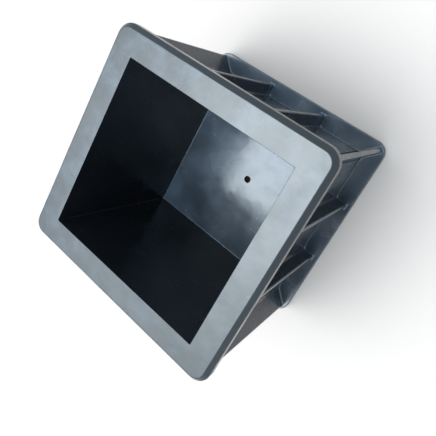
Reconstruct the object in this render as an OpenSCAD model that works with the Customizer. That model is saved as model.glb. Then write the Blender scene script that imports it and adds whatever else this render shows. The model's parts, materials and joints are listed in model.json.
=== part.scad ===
// Cube mould for concrete test specimens: an open box with a wide flange round its
// mouth, a matching flange round its foot, two upright ribs on each side and a
// diagonal gusset at each corner. The real mould is a single injection moulding,
// so each node is one feature of it, and neighbours meet face to face.
// +Z is up, the mouth is on top, and the origin is at the middle of the foot.

/* [Cavity] */
// Side of the square cavity, which is the size of the specimen
cavity_w = 150; // [148:0.5:152]
// Depth of the cavity, from the mouth to its floor
cavity_h = 150; // [148:0.5:152]
// Thickness of the four walls
wall_t = 5.5; // [4:0.5:7]
// Thickness of the cavity floor
floor_t = 6; // [4:0.5:8]
// Height of the cavity floor's top above the ground
floor_z = 17; // [15:0.5:20]

/* [Flanges] */
// Outer width of the flange round the mouth
top_flange_w = 195.5; // [190:0.5:200]
// Outer width of the flange round the foot
base_flange_w = 195; // [190:0.5:200]
// Radius of the flange corners, seen from above
flange_corner_r = 12; // [9:0.5:14]
// Thickness of the flange round the mouth
top_flange_t = 10; // [7:0.5:12]
// Chamfer of the top flange's upper edge
top_chamfer = 3.5; // [2:0.5:5]
// Thickness of the flange round the foot
base_flange_t = 6; // [5:0.5:8]
// Chamfer of the base flange's upper edge
base_chamfer = 0.8; // [0.4:0.2:2]

/* [Side ribs] */
// Distance of each rib from the middle of its side
rib_offset = 30; // [24:1:40]
// Thickness of a rib
rib_t = 4.5; // [3:0.5:6]
// How far a rib stands back from the edge of the base flange
rib_setback = 4.5; // [3.5:0.5:7]
// Rounding of a rib's two outer edges
rib_edge_r = 1.2; // [0.6:0.2:1.4]

/* [Corner gussets] */
// Thickness of a gusset
gusset_t = 4.5; // [3:0.5:8]
// Place of a gusset's tip, from the middle of the mould along each side
gusset_reach = 92.5; // [89:0.5:93]

/* [Air hole] */
// Diameter of the hole for the compressed air that pushes the specimen out
air_hole_d = 6.2; // [4:0.2:8]
// Diameter of the boss round the air hole, under the floor
air_boss_d = 18; // [14:1:24]
// Thickness of the four ribs under the floor
floor_rib_t = 4; // [3:0.5:6]
// Clearance between the ground and what is under the floor
underside_gap = 3; // [2:0.5:5]

/* [Hidden] */
SIDES = ["front", "right", "back", "left"];
CORNERS = ["front_right", "back_right", "back_left", "front_left"];
PLACES = ["left", "right"];

$fn = 64;
PLASTIC = [0.05, 0.055, 0.065];
// Half widths, from the middle of the mould
cavity_half = cavity_w / 2;
wall_out = cavity_half + wall_t;
rib_out = base_flange_w / 2 - rib_setback;
// Heights above the ground
mouth_z = floor_z + cavity_h;
top_flange_z = mouth_z - top_flange_t;
floor_under_z = floor_z - floor_t;
// How far cuts run past the faces that they open
cut = 1;

// Half of a plate's cross-section, from its middle out, with the upper edge chamfered
module edge_profile(reach, thick, chamfer) {
    polygon([
        [0, 0],
        [reach, 0],
        [reach, thick - chamfer],
        [reach - chamfer, thick],
        [0, thick]
    ]);
}

// A plate with round corners and a chamfered upper edge, standing on z = 0
module chamfered_plate(half, corner_r, thick, chamfer) {
    straight = half - corner_r;
    for (turn = [0 : 90 : 270])
        rotate([90, 0, turn]) translate([0, 0, -straight])
            linear_extrude(2 * straight) edge_profile(half, thick, chamfer);
    for (x = [-1, 1], y = [-1, 1])
        translate([x, y, 0] * straight)
            rotate_extrude() edge_profile(corner_r, thick, chamfer);
}

// A flange: a plate with the cavity's square opening cut through it
module flange(width, thick, chamfer) {
    difference() {
        chamfered_plate(width / 2, flange_corner_r, thick, chamfer);
        translate([-cavity_half, -cavity_half, -cut])
            cube([cavity_w, cavity_w, thick + 2 * cut]);
    }
}

module top_flange() {
    color(PLASTIC) translate([0, 0, top_flange_z])
        flange(top_flange_w, top_flange_t, top_chamfer);
}

module base_flange() {
    color(PLASTIC) flange(base_flange_w, base_flange_t, base_chamfer);
}

// One wall, mitred at both ends, from the base flange up to the top flange
module wall(side) {
    color(PLASTIC) rotate([0, 0, 90 * side]) translate([0, 0, base_flange_t])
        linear_extrude(top_flange_z - base_flange_t)
            polygon([
                [-cavity_half, -cavity_half],
                [-wall_out, -wall_out],
                [wall_out, -wall_out],
                [cavity_half, -cavity_half]
            ]);
}

// The floor of the cavity, set between the four walls
module floor_plate() {
    color(PLASTIC) difference() {
        translate([-cavity_half, -cavity_half, floor_under_z])
            cube([cavity_w, cavity_w, floor_t]);
        translate([0, 0, floor_under_z - cut])
            cylinder(d = air_hole_d, h = floor_t + 2 * cut);
    }
}

// The boss that takes the air nozzle, under the floor
module air_boss() {
    color(PLASTIC) translate([0, 0, underside_gap]) difference() {
        cylinder(d = air_boss_d, h = floor_under_z - underside_gap);
        translate([0, 0, -cut]) cylinder(d = air_hole_d, h = floor_z);
    }
}

// One upright rib, with its outer edges rounded
module rib(side, place) {
    color(PLASTIC) rotate([0, 0, 90 * side]) translate([place * rib_offset, 0, base_flange_t])
        linear_extrude(top_flange_z - base_flange_t) {
            translate([-rib_t / 2, rib_edge_r - rib_out])
                square([rib_t, rib_out - rib_edge_r - wall_out]);
            translate([rib_edge_r - rib_t / 2, -rib_out])
                square([rib_t - 2 * rib_edge_r, rib_out - wall_out]);
            for (x = [-1, 1])
                translate([x * (rib_t / 2 - rib_edge_r), rib_edge_r - rib_out])
                    circle(r = rib_edge_r);
        }
}

// One diagonal gusset: a web that sits round the corner of the walls and ends in a
// half-round edge, from the base flange up to the top flange
module gusset(corner) {
    tip = gusset_reach * sqrt(2) - gusset_t / 2;
    color(PLASTIC) rotate([0, 0, 90 * corner - 45]) translate([0, 0, base_flange_t])
        linear_extrude(top_flange_z - base_flange_t) difference() {
            union() {
                translate([wall_out, -gusset_t / 2]) square([tip - wall_out, gusset_t]);
                translate([tip, 0]) circle(d = gusset_t);
            }
            rotate(45) square(2 * wall_out, center = true);
        }
}

// One rib under the floor, from the boss out to a wall
module floor_rib(side) {
    color(PLASTIC) rotate([0, 0, 90 * side]) translate([0, 0, underside_gap])
        linear_extrude(floor_under_z - underside_gap) difference() {
            translate([-floor_rib_t / 2, -cavity_half]) square([floor_rib_t, cavity_half]);
            circle(d = air_boss_d);
        }
}

top_flange();
base_flange();
floor_plate();
air_boss();
for (s = [0 : 3]) {
    wall(s);
    gusset(s);
    floor_rib(s);
    for (p = [0, 1])
        rib(s, 2 * p - 1);
}
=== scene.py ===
import json
import math

import bmesh
import bpy
from mathutils import Matrix, Vector


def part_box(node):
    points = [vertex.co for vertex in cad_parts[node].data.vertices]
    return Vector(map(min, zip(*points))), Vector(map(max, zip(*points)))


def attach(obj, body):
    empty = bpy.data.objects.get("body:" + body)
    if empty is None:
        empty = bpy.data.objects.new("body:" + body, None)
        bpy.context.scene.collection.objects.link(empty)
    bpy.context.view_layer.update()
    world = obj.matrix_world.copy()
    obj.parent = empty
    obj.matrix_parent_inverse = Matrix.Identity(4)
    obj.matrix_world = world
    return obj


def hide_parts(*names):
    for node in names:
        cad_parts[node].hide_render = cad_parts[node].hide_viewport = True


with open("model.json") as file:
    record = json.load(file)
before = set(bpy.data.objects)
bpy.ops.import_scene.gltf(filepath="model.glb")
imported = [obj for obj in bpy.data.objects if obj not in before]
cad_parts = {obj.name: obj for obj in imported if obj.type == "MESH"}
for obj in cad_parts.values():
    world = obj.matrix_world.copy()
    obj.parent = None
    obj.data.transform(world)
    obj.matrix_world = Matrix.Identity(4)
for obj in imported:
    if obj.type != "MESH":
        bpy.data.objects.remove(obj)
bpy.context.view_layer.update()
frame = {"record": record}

# ---------------------------------------------------------------- sizes
MM = 0.001
SLOT = "black_plastic"
SIDES = ("front", "right", "back", "left")
CORNERS = ("front_right", "back_right", "back_left", "front_left")

top_low, top_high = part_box("top_flange")
base_low, base_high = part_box("base_flange")
floor_low, floor_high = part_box("floor_plate")
wall_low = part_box("wall_front")[0]
rib_low, rib_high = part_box("rib_front_right")
gusset_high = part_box("gusset_front_right")[1]
boss_low, boss_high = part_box("air_boss")
floor_rib_low, floor_rib_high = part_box("floor_rib_front")
air_hole = next(m for m in frame["record"]["mounts"] if m["name"] == "air_nozzle_hole")

CAVITY = floor_high.x
WALL_OUT = -wall_low.y
TOP_HALF = top_high.x
BASE_HALF = base_high.x
RIB_MIDDLE = (rib_low.x + rib_high.x) / 2
RIB_HALF = (rib_high.x - rib_low.x) / 2
RIB_OUT = -rib_low.y
GUSSET_T = 4.5 * MM
GUSSET_TIP = (gusset_high.x - GUSSET_T / 2 * (1 - math.sqrt(0.5))) * math.sqrt(2)
BOSS_R = boss_high.x
HOLE_R = air_hole["dims"]["r_mm"] * MM
FLOOR_RIB_HALF = floor_rib_high.x

# Corners and chamfer that the CAD solids share
FLANGE_CORNER_R = 12 * MM
TOP_CHAMFER = 3.5 * MM

# Rounding and draft that they leave out
CHAMFER_EDGE_R = 1.5 * MM
BASE_EDGE_R = 0.8 * MM
UNDER_EDGE_R = 0.7 * MM
MOUTH_EDGE_R = 0.35 * MM
CAVITY_CORNER_R = 0.8 * MM
FLOOR_FILLET_R = 0.8 * MM
HOLE_EDGE_R = 0.45 * MM
HOLE_LEAD_IN = 0.6 * MM
BOSS_EDGE_R = 1 * MM
WALL_FOOT_R = 0.8 * MM
WEB_FOOT_R = 1.5 * MM
RIB_ROOT_R = 2.5 * MM
RIB_EDGE_R = 1.3 * MM
RIB_DRAFT = 0.35 * MM
RIB_LEAN = 0.8 * MM
GUSSET_ROOT_R = 3 * MM
GUSSET_EDGE_R = 1.9 * MM
GUSSET_DRAFT = 0.3 * MM
GUSSET_TIP_GROWTH = 0.3
FLOOR_RIB_ROOT_R = 1.5 * MM
FLOOR_RIB_EDGE_R = 0.8 * MM
FLOOR_RIB_DRAFT = 0.4 * MM

# How far pieces run into their neighbours, so that no seam opens between them
SINK = 0.2 * MM
FLOOR_RIB_SINK = 1 * MM

# Fineness of the meshes
ARC_STEPS = 8
SMALL_ARC_STEPS = 4
FOOT_STEPS = 7
ROUND_POINTS = 96
SHARP_ANGLE = 40
NORMAL_WEIGHT = 90

# Colours and gloss
PLASTIC_COLOUR = (0.006, 0.007, 0.0088, 1)
# This colour is dust, and also painted light in the cavity floor's corners and along its edges
DUST_AND_PAINTED_LIGHT_COLOUR = (0.148, 0.194, 0.252, 1)
SCUFF_COLOUR = (0.16, 0.17, 0.18, 1)
SCUFF_STRENGTH = 0.15
PLASTIC_IOR = 1.52
CLEAN_ROUGHNESS = 0.16
SMUDGE_ROUGHNESS = 0.13
SCUFF_ROUGHNESS = 0.12

# Depths of the moulded surface's unevenness
WAVE_DEPTH = 0.22 * MM
FLOW_DEPTH = 0.03 * MM
GRAIN_DEPTH = 0.004 * MM

# Noise patterns: waves a metre, detail and distortion
PATCH_NOISE = (40, 2.5, 0.2)
HAZE_NOISE = (48, 5, 0.3)
BLOTCH_NOISE = (70, 4, 0.4)
SPECK_NOISE = (900, 3, 0)
SMUDGE_NOISE = (38, 3, 0.2)
WAVE_NOISE = (55, 2.5, 0)
FLOW_NOISE = (1, 3, 0)
SCUFF_NOISE = (1, 2, 0)
GRAIN_NOISE = (2200, 2, 0)

# Waves a metre along each axis, and the turn, of the stretched patterns
FLOW_STRETCH = ((160, 160, 14), 0)
LONG_SCUFF_STRETCH = ((900, 22, 22), 0.35)
CROSS_SCUFF_STRETCH = ((26, 1100, 26), -0.2)

# Spans of noise over which each pattern comes in
PATCH_SPAN = (0.3, 0.7)
HAZE_SPAN = (0.42, 0.66)
BLOTCH_SPAN = (0.48, 0.68)
SPECK_SPAN = (0.70, 0.76)
SMUDGE_SPAN = (0.35, 0.7)
SCUFF_SPAN = (0.70, 0.80)

# Share of the surface that dust covers on what faces up: the film, what the cavity floor
# adds in its middle and in its corners (dust, and a painted reflection that lightens the shaded
# corners), what it adds along its edges (dust, and painted highlight lines and a corner glint),
# and specks
FILM_DUST = 0.26
FLOOR_DUST_AND_PAINTED_LIGHT = (0.14, 0.7)
EDGE_DUST_AND_PAINTED_HIGHLIGHT = 0.5
SPECK_DUST = 0.25

# The same on the outside of the walls: what clings everywhere and what lodges low down
OUTER_DUST = 0.07
LODGED_DUST = 0.22

# Factors on the dust's patches, on the film from the front left to the back right, and on
# the film where the mouth's flange is wiped
PATCH_RANGE = (0.65, 1.1)
TOWARDS_BACK_RIGHT_RANGE = (0.55, 1.3)
WIPED_RANGE = (0.05, 0.5)

# Where the dust and the painted light lie
FACING_UP_SPAN = (0.72, 0.98)
# The cavity floor's corner, edge and height spans carry painted light as well as dust: a painted
# reflection in the shaded corners, painted highlight lines along the edges
CORNER_LIGHT_AND_DUST_SPAN = (0.3 * CAVITY**2, 0.9 * CAVITY**2)
TOWARDS_BACK_RIGHT_SPAN = (-1.2 * CAVITY, CAVITY)
EDGE_HIGHLIGHT_AND_DUST_W = 2.5 * MM
FLOOR_DUST_AND_LIGHT_SPAN = (2 * MM, 4 * MM)
OUTSIDE_SPAN = (CAVITY + 1 * MM, WALL_OUT - 1 * MM)
LODGED_H = 45 * MM
UNDER_FLANGE_FADE = 1 * MM

# Light
KEY_DIRECTION = Vector((-0.25, 0.26, 0.93))
KEY_FOCUS = 12
KEY_COLOUR = Vector((0.85, 0.945, 1.0)) * 13
SURROUND_COLOUR = Vector((0.69, 0.87, 1.0)) * 1.45
GROUND_R = 4.0
GROUND_DROP = 0.1 * MM
GROUND_COLOUR = (0.42, 0.36, 0.33, 1)
GROUND_GLOW = 0.04

# Camera
SENSOR_MM = 36
LENS_MM = 39.46
SHIFT_Y = -0.155
EYE = Vector((0.1459, -0.1488, 0.4492))
AIM = Vector((0.0284, 0.0137, 0.0835))
ROLL = -94.253


# ---------------------------------------------------------------- outlines
def arc(centre, radius, start, end, steps=ARC_STEPS):
    """Points on an arc, from one angle in degrees to another."""
    points = []
    for step in range(steps + 1):
        angle = math.radians(start + (end - start) * step / steps)
        points.append(Vector(centre) + radius * Vector((math.cos(angle), math.sin(angle))))
    return points


def rounded(corners):
    """A closed outline from (x, y, radius) corners, each rounded with its own radius."""
    points = []
    count = len(corners)
    for i, (x, y, radius) in enumerate(corners):
        here = Vector((x, y))
        if radius == 0:
            points.append(here)
            continue
        back = (Vector(corners[i - 1][:2]) - here).normalized()
        ahead = (Vector(corners[(i + 1) % count][:2]) - here).normalized()
        half_angle = back.angle(ahead) / 2
        centre = here + (back + ahead).normalized() * radius / math.sin(half_angle)
        reach = radius / math.tan(half_angle)
        first = here + back * reach - centre
        turn = first.angle_signed(here + ahead * reach - centre)
        for step in range(ARC_STEPS + 1):
            points.append(centre + Matrix.Rotation(-turn * step / ARC_STEPS, 2) @ first)
    return points


def square_loop(half, radius, z):
    """A square loop with round corners at height z, anticlockwise from above."""
    loop = []
    for quarter in range(4):
        turn = Matrix.Rotation(math.pi / 2 * quarter, 2)
        middle = half - radius
        for point in arc((middle, middle), radius, 0, 90):
            loop.append((*(turn @ point), z))
    return loop


def flared(low, high, radius):
    """(place, growth) pairs along a piece that flares with a fillet at both ends."""
    flare = []
    for step in range(FOOT_STEPS + 1):
        angle = math.pi / 2 * step / FOOT_STEPS
        flare.append((radius * (1 - math.cos(angle)), radius * (1 - math.sin(angle))))
    lower = [(low + rise, growth) for rise, growth in flare]
    upper = [(high - rise, growth) for rise, growth in reversed(flare)]
    return lower + upper


def shifted(outline, shift):
    """The same outline, moved along X."""
    def moved(growth, share):
        return [point + Vector((shift, 0)) for point in outline(growth, share)]
    return moved


# ---------------------------------------------------------------- meshes
def skin(loops, wrap=False):
    """A closed mesh through equal loops of points, joined end to end or capped."""
    mesh = bmesh.new()
    rings = [[mesh.verts.new(point) for point in loop] for loop in loops]
    size = len(rings[0])
    pairs = list(zip(rings, rings[1:]))
    if wrap:
        pairs.append((rings[-1], rings[0]))
    for lower, upper in pairs:
        for i in range(size):
            j = (i + 1) % size
            mesh.faces.new((lower[i], lower[j], upper[j], upper[i]))
    if not wrap:
        mesh.faces.new(list(reversed(rings[0])))
        mesh.faces.new(rings[-1])
    bmesh.ops.recalc_face_normals(mesh, faces=mesh.faces)
    return mesh


def moulded(node, mesh, material):
    """One smooth moulded piece that stands for a CAD node."""
    data = bpy.data.meshes.new("moulded_" + node)
    mesh.to_mesh(data)
    mesh.free()
    data.shade_smooth()
    data.set_sharp_from_angle(angle=math.radians(SHARP_ANGLE))
    data.materials.append(material)
    piece = bpy.data.objects.new("moulded_" + node, data)
    bpy.context.scene.collection.objects.link(piece)
    normals = piece.modifiers.new("Even normals", "WEIGHTED_NORMAL")
    normals.keep_sharp = True
    normals.weight = NORMAL_WEIGHT
    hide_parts(node)
    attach(piece, "root")


def flange_loops(profile, outer):
    """Loops round the mould from (half width, height) pairs, out to the outer half width."""
    loops = []
    for half, z in profile:
        radius = max(CAVITY_CORNER_R, FLANGE_CORNER_R - (outer - half))
        loops.append(square_loop(half, radius, z))
    return loops


def top_flange(material):
    """The broad flange round the mouth, with a chamfer round its outer edge."""
    low, high = top_low.z, top_high.z
    profile = rounded([
        (CAVITY, low, 0),
        (TOP_HALF, low, UNDER_EDGE_R),
        (TOP_HALF, high - TOP_CHAMFER, CHAMFER_EDGE_R),
        (TOP_HALF - TOP_CHAMFER, high, CHAMFER_EDGE_R),
        (CAVITY, high, MOUTH_EDGE_R),
    ])
    moulded("top_flange", skin(flange_loops(profile, TOP_HALF), wrap=True), material)


def base_flange(material):
    """The flange round the foot, which the mould stands on."""
    low, high = base_low.z, base_high.z
    profile = rounded([
        (CAVITY, low, UNDER_EDGE_R),
        (BASE_HALF, low, UNDER_EDGE_R),
        (BASE_HALF, high, BASE_EDGE_R),
        (CAVITY, high, 0),
    ])
    moulded("base_flange", skin(flange_loops(profile, BASE_HALF), wrap=True), material)


def swept(node, outline, stations, place, material):
    """A piece whose outline(growth, share of the way) is swept through its stations."""
    first, last = stations[0][0], stations[-1][0]
    loops = []
    for at, growth in stations:
        share = (at - first) / (last - first)
        loops.append([place(point, at) for point in outline(growth, share)])
    moulded(node, skin(loops), material)


def upright(node, outline, turn, foot_r, material, sink=0):
    """An upright piece between the two flanges, turned about the mould's middle."""
    spin = Matrix.Rotation(turn, 2)
    stations = flared(base_high.z, top_low.z, foot_r)
    if sink:
        stations = [(base_high.z - sink, foot_r), *stations, (top_low.z + sink, foot_r)]
    swept(node, outline, stations, lambda point, z: (*(spin @ point), z), material)


def wall_outline(growth, share):
    """A wall seen from above: mitred, with half of each cavity corner's rounding."""
    out = WALL_OUT + growth
    inner = CAVITY - CAVITY_CORNER_R
    right = arc((inner, -inner), CAVITY_CORNER_R, -45, -90, SMALL_ARC_STEPS)
    left = arc((-inner, -inner), CAVITY_CORNER_R, -90, -135, SMALL_ARC_STEPS)
    return right + left + [Vector((-out, -out)), Vector((out, -out))]


def rib_outline(growth, share):
    """A side rib seen from above, in the middle of the front side."""
    root = RIB_HALF + RIB_DRAFT + growth
    tip = RIB_HALF - RIB_DRAFT + growth
    wall = -WALL_OUT - growth
    out = -RIB_OUT - growth + RIB_LEAN * (1 - share)
    spread = root + RIB_ROOT_R
    behind = -WALL_OUT + SINK
    return rounded([
        (-spread, behind, 0),
        (-spread, wall, 0),
        (-root, wall, RIB_ROOT_R),
        (-tip, out, RIB_EDGE_R),
        (tip, out, RIB_EDGE_R),
        (root, wall, RIB_ROOT_R),
        (spread, wall, 0),
        (spread, behind, 0),
    ])


def gusset_outline(growth, share):
    """A corner gusset seen from above, pointing along +X, round the walls' corner."""
    corner = (WALL_OUT + growth) * math.sqrt(2)
    behind = (WALL_OUT - SINK) * math.sqrt(2)
    root = GUSSET_T / 2 + GUSSET_DRAFT + growth
    edge = GUSSET_T / 2 - GUSSET_DRAFT + growth
    tip = GUSSET_TIP + GUSSET_TIP_GROWTH * growth
    spread = root + GUSSET_ROOT_R / 2
    return rounded([
        (behind, 0, 0),
        (behind - spread, -spread, 0),
        (corner - spread, -spread, 0),
        (corner - root, -root, GUSSET_ROOT_R),
        (tip, -edge, GUSSET_EDGE_R + growth),
        (tip, edge, GUSSET_EDGE_R + growth),
        (corner - root, root, GUSSET_ROOT_R),
        (corner - spread, spread, 0),
        (behind - spread, spread, 0),
    ])


def floor_rib_outline(growth, share):
    """A rib under the floor in cross-section, hanging from the floor's underside."""
    top, low = floor_rib_high.z, floor_rib_low.z
    root = FLOOR_RIB_HALF + growth
    tip = FLOOR_RIB_HALF - FLOOR_RIB_DRAFT + growth
    spread = root + FLOOR_RIB_ROOT_R
    return rounded([
        (-spread, top + SINK, 0),
        (-spread, top, 0),
        (-root, top, FLOOR_RIB_ROOT_R),
        (-tip, low, FLOOR_RIB_EDGE_R),
        (tip, low, FLOOR_RIB_EDGE_R),
        (root, top, FLOOR_RIB_ROOT_R),
        (spread, top, 0),
        (spread, top + SINK, 0),
    ])


def floor_rib(side, material):
    """One of the four ribs under the floor, from the boss to a wall."""
    spin = Matrix.Rotation(math.pi / 2 * side, 2)
    inner = (BOSS_R - FLOOR_RIB_SINK, FLOOR_RIB_ROOT_R)
    outer = (CAVITY + SINK, FLOOR_RIB_ROOT_R)
    stations = [inner, *flared(BOSS_R, CAVITY, FLOOR_RIB_ROOT_R), outer]

    def place(point, reach):
        return (*(spin @ Vector((point.x, -reach))), point.y)

    swept("floor_rib_" + SIDES[side], floor_rib_outline, stations, place, material)


def compass_loop(radius, z, square=False):
    """A round or square loop at height z, with its points at even angles."""
    loop = []
    for step in range(ROUND_POINTS):
        angle = 2 * math.pi * step / ROUND_POINTS
        c, s = math.cos(angle), math.sin(angle)
        reach = radius / max(abs(c), abs(s)) if square else radius
        loop.append((reach * c, reach * s, z))
    return loop


def floor_plate(material):
    """The cavity floor, with a small fillet up the walls and the air hole through it."""
    low, high = floor_low.z, floor_high.z
    inner = CAVITY - FLOOR_FILLET_R
    edge = [Vector((CAVITY + SINK, low)), Vector((CAVITY + SINK, high + FLOOR_FILLET_R))]
    edge += arc((inner, high + FLOOR_FILLET_R), FLOOR_FILLET_R, 0, -90)
    rim = (HOLE_R + HOLE_EDGE_R, high - HOLE_EDGE_R)
    hole = arc(rim, HOLE_EDGE_R, 90, 180, SMALL_ARC_STEPS)
    hole.append(Vector((HOLE_R, low)))
    loops = [compass_loop(half, z, square=True) for half, z in edge]
    loops += [compass_loop(radius, z) for radius, z in hole]
    moulded("floor_plate", skin(loops, wrap=True), material)


def air_boss(material):
    """The boss under the floor, with a lead-in for the air nozzle."""
    low, high = boss_low.z, boss_high.z
    root = BOSS_R + FLOOR_RIB_ROOT_R
    profile = [Vector((HOLE_R, high + SINK)), Vector((HOLE_R, low + HOLE_LEAD_IN))]
    profile.append(Vector((HOLE_R + HOLE_LEAD_IN, low)))
    profile += arc((BOSS_R - BOSS_EDGE_R, low + BOSS_EDGE_R), BOSS_EDGE_R, -90, 0)
    profile += arc((root, high - FLOOR_RIB_ROOT_R), FLOOR_RIB_ROOT_R, 180, 90)
    profile.append(Vector((root, high + SINK)))
    loops = [compass_loop(radius, z) for radius, z in profile]
    moulded("air_boss", skin(loops, wrap=True), material)


# ---------------------------------------------------------------- materials
def feed(tree, socket, value):
    """Sets an input to a value, or links it where the value is another node's output."""
    if isinstance(value, bpy.types.NodeSocket):
        tree.links.new(value, socket)
    else:
        socket.default_value = value


def noise(tree, where, pattern, span=None, to=(0, 1)):
    """Soft noise from 0 to 1, which comes in over a span of its values where one is given."""
    scale, detail, distortion = pattern
    node = tree.nodes.new("ShaderNodeTexNoise")
    feed(tree, node.inputs["Vector"], where)
    node.inputs["Scale"].default_value = scale
    node.inputs["Detail"].default_value = detail
    node.inputs["Distortion"].default_value = distortion
    return remap(tree, node.outputs["Fac"], span, to) if span else node.outputs["Fac"]


def stretched(tree, where, stretch):
    """Coordinates turned about Z and then scaled by a factor for each axis."""
    factors, turn = stretch
    node = tree.nodes.new("ShaderNodeMapping")
    feed(tree, node.inputs["Vector"], where)
    node.inputs["Rotation"].default_value = (0, 0, turn)
    node.inputs["Scale"].default_value = factors
    return node.outputs["Vector"]


def remap(tree, value, span, to=(0, 1)):
    """Maps one span smoothly onto another, and clamps it."""
    node = tree.nodes.new("ShaderNodeMapRange")
    node.interpolation_type = "SMOOTHSTEP"
    feed(tree, node.inputs["Value"], value)
    for name, end in zip(("From Min", "From Max", "To Min", "To Max"), (*span, *to)):
        feed(tree, node.inputs[name], end)
    return node.outputs["Result"]


def combine(tree, operation, *values):
    """Math nodes that run one operation through all the values, from the left."""
    total = values[0]
    for value in values[1:]:
        node = tree.nodes.new("ShaderNodeMath")
        node.operation = operation
        feed(tree, node.inputs[0], total)
        feed(tree, node.inputs[1], value)
        total = node.outputs[0]
    return total


def magnitude(tree, value):
    """The value without its sign."""
    node = tree.nodes.new("ShaderNodeMath")
    node.operation = "ABSOLUTE"
    feed(tree, node.inputs[0], value)
    return node.outputs[0]


def blend(tree, share, first, second):
    """One colour turning into another as share goes from 0 to 1."""
    node = tree.nodes.new("ShaderNodeMix")
    node.data_type = "RGBA"
    feed(tree, node.inputs["Factor"], share)
    feed(tree, node.inputs["A"], first)
    feed(tree, node.inputs["B"], second)
    return node.outputs["Result"]


def bump(tree, height, depth, under=None):
    """A bump of this depth in metres, on top of another one."""
    node = tree.nodes.new("ShaderNodeBump")
    node.inputs["Distance"].default_value = depth
    feed(tree, node.inputs["Height"], height)
    if under is not None:
        feed(tree, node.inputs["Normal"], under)
    return node.outputs["Normal"]


def split(tree, vector):
    """The X, Y and Z outputs of a vector."""
    node = tree.nodes.new("ShaderNodeSeparateXYZ")
    feed(tree, node.inputs[0], vector)
    return node.outputs


def facing_up(tree):
    """1 on surfaces that face up and 0 on walls and undersides."""
    normal = tree.nodes.new("ShaderNodeNewGeometry").outputs["Normal"]
    return remap(tree, split(tree, normal)["Z"], FACING_UP_SPAN)


def off_centre(tree, x, y):
    """Distance from the mould's middle towards the nearest side."""
    return combine(tree, "MAXIMUM", magnitude(tree, x), magnitude(tree, y))


def film_dust(tree, where):
    """The film on all that faces up, lighter towards the back right and wiped thin at the mouth.
    """
    x, y, z = split(tree, where)
    towards_back_right = remap(tree, combine(tree, "ADD", x, y), TOWARDS_BACK_RIGHT_SPAN, TOWARDS_BACK_RIGHT_RANGE)
    left = noise(tree, where, HAZE_NOISE, HAZE_SPAN, WIPED_RANGE)
    wiped = remap(tree, z, (top_low.z, top_high.z - TOP_CHAMFER), (1, left))
    return combine(tree, "MULTIPLY", towards_back_right, wiped, FILM_DUST)


def floor_dust_and_painted_light(tree, where):
    """What the cavity floor adds to the film, most of it in its corners and along its edges:
    dust, a painted reflection that lightens the shaded corners, and painted highlight lines and a
    glint along the edges.
    """
    x, y, z = split(tree, where)
    cornered = magnitude(tree, combine(tree, "MULTIPLY", x, y))
    # Painted reflection: lightens the floor's shaded corners, on top of the dust there
    corners = remap(tree, cornered, CORNER_LIGHT_AND_DUST_SPAN, FLOOR_DUST_AND_PAINTED_LIGHT)
    # Painted highlight lines along the floor's edges, with a glint where they meet, on top of the
    # dust there
    edge_dust_and_highlight = remap(tree, off_centre(tree, x, y), (CAVITY - EDGE_HIGHLIGHT_AND_DUST_W, CAVITY), (0, EDGE_DUST_AND_PAINTED_HIGHLIGHT))
    height = magnitude(tree, combine(tree, "SUBTRACT", z, floor_high.z))
    on_floor = remap(tree, height, FLOOR_DUST_AND_LIGHT_SPAN, (1, 0))
    return combine(tree, "MULTIPLY", combine(tree, "ADD", corners, edge_dust_and_highlight), on_floor)


def outer_dust(tree, where):
    """Dust on the outside of the walls and on the ribs, with blotches low down."""
    x, y, z = split(tree, where)
    outside = remap(tree, off_centre(tree, x, y), OUTSIDE_SPAN)
    below = remap(tree, z, (top_low.z, top_low.z + UNDER_FLANGE_FADE), (1, 0))
    low = remap(tree, z, (base_high.z, base_high.z + LODGED_H), (1, 0))
    blotches = noise(tree, where, BLOTCH_NOISE, BLOTCH_SPAN, (0, LODGED_DUST))
    amount = combine(tree, "ADD", combine(tree, "MULTIPLY", low, blotches), OUTER_DUST)
    return combine(tree, "MULTIPLY", outside, below, amount)


def dust_and_light_amount(tree, where, upward):
    """How much dust and painted light there is: dust in patches and specks on what faces up and
    less on walls, and painted light in the cavity floor's corners and along its edges.
    """
    lying = combine(tree, "ADD", film_dust(tree, where), floor_dust_and_painted_light(tree, where))
    patches = noise(tree, where, PATCH_NOISE, PATCH_SPAN, PATCH_RANGE)
    specks = noise(tree, where, SPECK_NOISE, SPECK_SPAN, (0, SPECK_DUST))
    lying = combine(tree, "ADD", combine(tree, "MULTIPLY", patches, lying), specks)
    clinging = outer_dust(tree, where)
    upright = combine(tree, "SUBTRACT", 1, upward)
    lying = combine(tree, "MULTIPLY", upward, lying)
    return combine(tree, "ADD", lying, combine(tree, "MULTIPLY", upright, clinging))


def scuff_marks(tree, where):
    """Long thin scratches in two directions."""
    along = noise(tree, stretched(tree, where, LONG_SCUFF_STRETCH), SCUFF_NOISE)
    across = noise(tree, stretched(tree, where, CROSS_SCUFF_STRETCH), SCUFF_NOISE)
    return remap(tree, combine(tree, "MAXIMUM", along, across), SCUFF_SPAN)


def relief(tree, where):
    """The surface's normal: faint waves, upright flow marks and a fine grain."""
    waves = bump(tree, noise(tree, where, WAVE_NOISE), WAVE_DEPTH)
    flow = noise(tree, stretched(tree, where, FLOW_STRETCH), FLOW_NOISE)
    marks = bump(tree, flow, FLOW_DEPTH, waves)
    return bump(tree, noise(tree, where, GRAIN_NOISE), GRAIN_DEPTH, marks)


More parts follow.
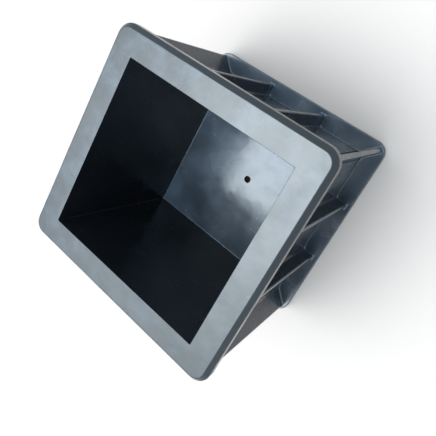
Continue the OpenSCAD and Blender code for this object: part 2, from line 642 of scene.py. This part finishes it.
def black_plastic():
    """Glossy black moulded plastic, with smudges, scuffs, dust, and painted light in the cavity
    floor's corners and along its edges.
    """
    material = bpy.data.materials.new(SLOT)
    material.use_nodes = True
    tree = material.node_tree
    shader = tree.nodes["Principled BSDF"]
    where = tree.nodes.new("ShaderNodeTexCoord").outputs["Object"]

    upward = facing_up(tree)
    scuffs = combine(tree, "MULTIPLY", scuff_marks(tree, where), upward)
    # Dust, and the floor's painted corner reflection and painted edge highlights, blended into
    # the colour
    colour = blend(tree, dust_and_light_amount(tree, where, upward), PLASTIC_COLOUR, DUST_AND_PAINTED_LIGHT_COLOUR)
    scuffed = combine(tree, "MULTIPLY", scuffs, SCUFF_STRENGTH)
    colour = blend(tree, scuffed, colour, SCUFF_COLOUR)
    smudges = noise(tree, where, SMUDGE_NOISE, SMUDGE_SPAN, (0, SMUDGE_ROUGHNESS))
    dulled = combine(tree, "MULTIPLY", scuffs, SCUFF_ROUGHNESS)

    feed(tree, shader.inputs["Base Color"], colour)
    feed(tree, shader.inputs["Roughness"], combine(tree, "ADD", smudges, dulled, CLEAN_ROUGHNESS))
    feed(tree, shader.inputs["Normal"], relief(tree, where))
    shader.inputs["IOR"].default_value = PLASTIC_IOR
    return material


# ---------------------------------------------------------------- stage
def ground():
    """A plain pale floor."""
    data = bpy.data.meshes.new("ground")
    mesh = bmesh.new()
    bmesh.ops.create_circle(mesh, cap_ends=True, segments=ROUND_POINTS, radius=GROUND_R)
    bmesh.ops.translate(mesh, verts=mesh.verts, vec=(0, 0, -GROUND_DROP))
    mesh.to_mesh(data)
    mesh.free()
    floor = bpy.data.objects.new("ground", data)
    bpy.context.scene.collection.objects.link(floor)
    material = bpy.data.materials.new("ground")
    material.use_nodes = True
    shader = material.node_tree.nodes["Principled BSDF"]
    shader.inputs["Base Color"].default_value = GROUND_COLOUR
    shader.inputs["Emission Color"].default_value = (1, 1, 1, 1)
    shader.inputs["Emission Strength"].default_value = GROUND_GLOW
    shader.inputs["Roughness"].default_value = 1
    shader.inputs["Specular IOR Level"].default_value = 0
    data.materials.append(material)


def sky():
    """A broad soft light high on the far side, in a dim blue surround."""
    world = bpy.data.worlds.new("studio")
    bpy.context.scene.world = world
    world.use_nodes = True
    tree = world.node_tree
    background = tree.nodes["Background"]
    direction = tree.nodes.new("ShaderNodeTexCoord")
    towards = tree.nodes.new("ShaderNodeVectorMath")
    towards.operation = "DOT_PRODUCT"
    towards.inputs[1].default_value = KEY_DIRECTION.normalized()
    ahead = tree.nodes.new("ShaderNodeMath")
    ahead.operation = "MAXIMUM"
    ahead.inputs[1].default_value = 0
    lobe = tree.nodes.new("ShaderNodeMath")
    lobe.operation = "POWER"
    lobe.inputs[1].default_value = KEY_FOCUS
    key = tree.nodes.new("ShaderNodeVectorMath")
    key.operation = "SCALE"
    key.inputs[0].default_value = KEY_COLOUR
    total = tree.nodes.new("ShaderNodeVectorMath")
    total.operation = "ADD"
    total.inputs[1].default_value = SURROUND_COLOUR
    tree.links.new(direction.outputs["Generated"], towards.inputs[0])
    tree.links.new(towards.outputs["Value"], ahead.inputs[0])
    tree.links.new(ahead.outputs[0], lobe.inputs[0])
    tree.links.new(lobe.outputs[0], key.inputs["Scale"])
    tree.links.new(key.outputs[0], total.inputs[0])
    tree.links.new(total.outputs[0], background.inputs["Color"])


def camera():
    """The camera, looking down into the mouth from the front right corner, rolled over."""
    data = bpy.data.cameras.new("camera")
    data.sensor_width = SENSOR_MM
    data.lens = LENS_MM
    data.shift_y = SHIFT_Y
    eye = bpy.data.objects.new("camera", data)
    bpy.context.scene.collection.objects.link(eye)
    level = (AIM - EYE).to_track_quat("-Z", "Y").to_matrix()
    roll = Matrix.Rotation(math.radians(ROLL), 3, "Z")
    eye.matrix_world = Matrix.Translation(EYE) @ (level @ roll).to_4x4()
    bpy.context.scene.camera = eye


def build():
    """Makes every moulded piece."""
    plastic = black_plastic()
    top_flange(plastic)
    base_flange(plastic)
    floor_plate(plastic)
    air_boss(plastic)
    for side, name in enumerate(SIDES):
        quarter = math.pi / 2 * side
        upright("wall_" + name, wall_outline, quarter, WALL_FOOT_R, plastic)
        floor_rib(side, plastic)
        for place, shift in (("left", -RIB_MIDDLE), ("right", RIB_MIDDLE)):
            outline = shifted(rib_outline, shift)
            upright(f"rib_{name}_{place}", outline, quarter, WEB_FOOT_R, plastic, SINK)
    for corner, name in enumerate(CORNERS):
        turn = math.pi / 2 * corner - math.pi / 4
        upright("gusset_" + name, gusset_outline, turn, WEB_FOOT_R, plastic, SINK)


camera()
ground()
sky()
build()
bpy.context.scene.view_settings.view_transform = "Standard"
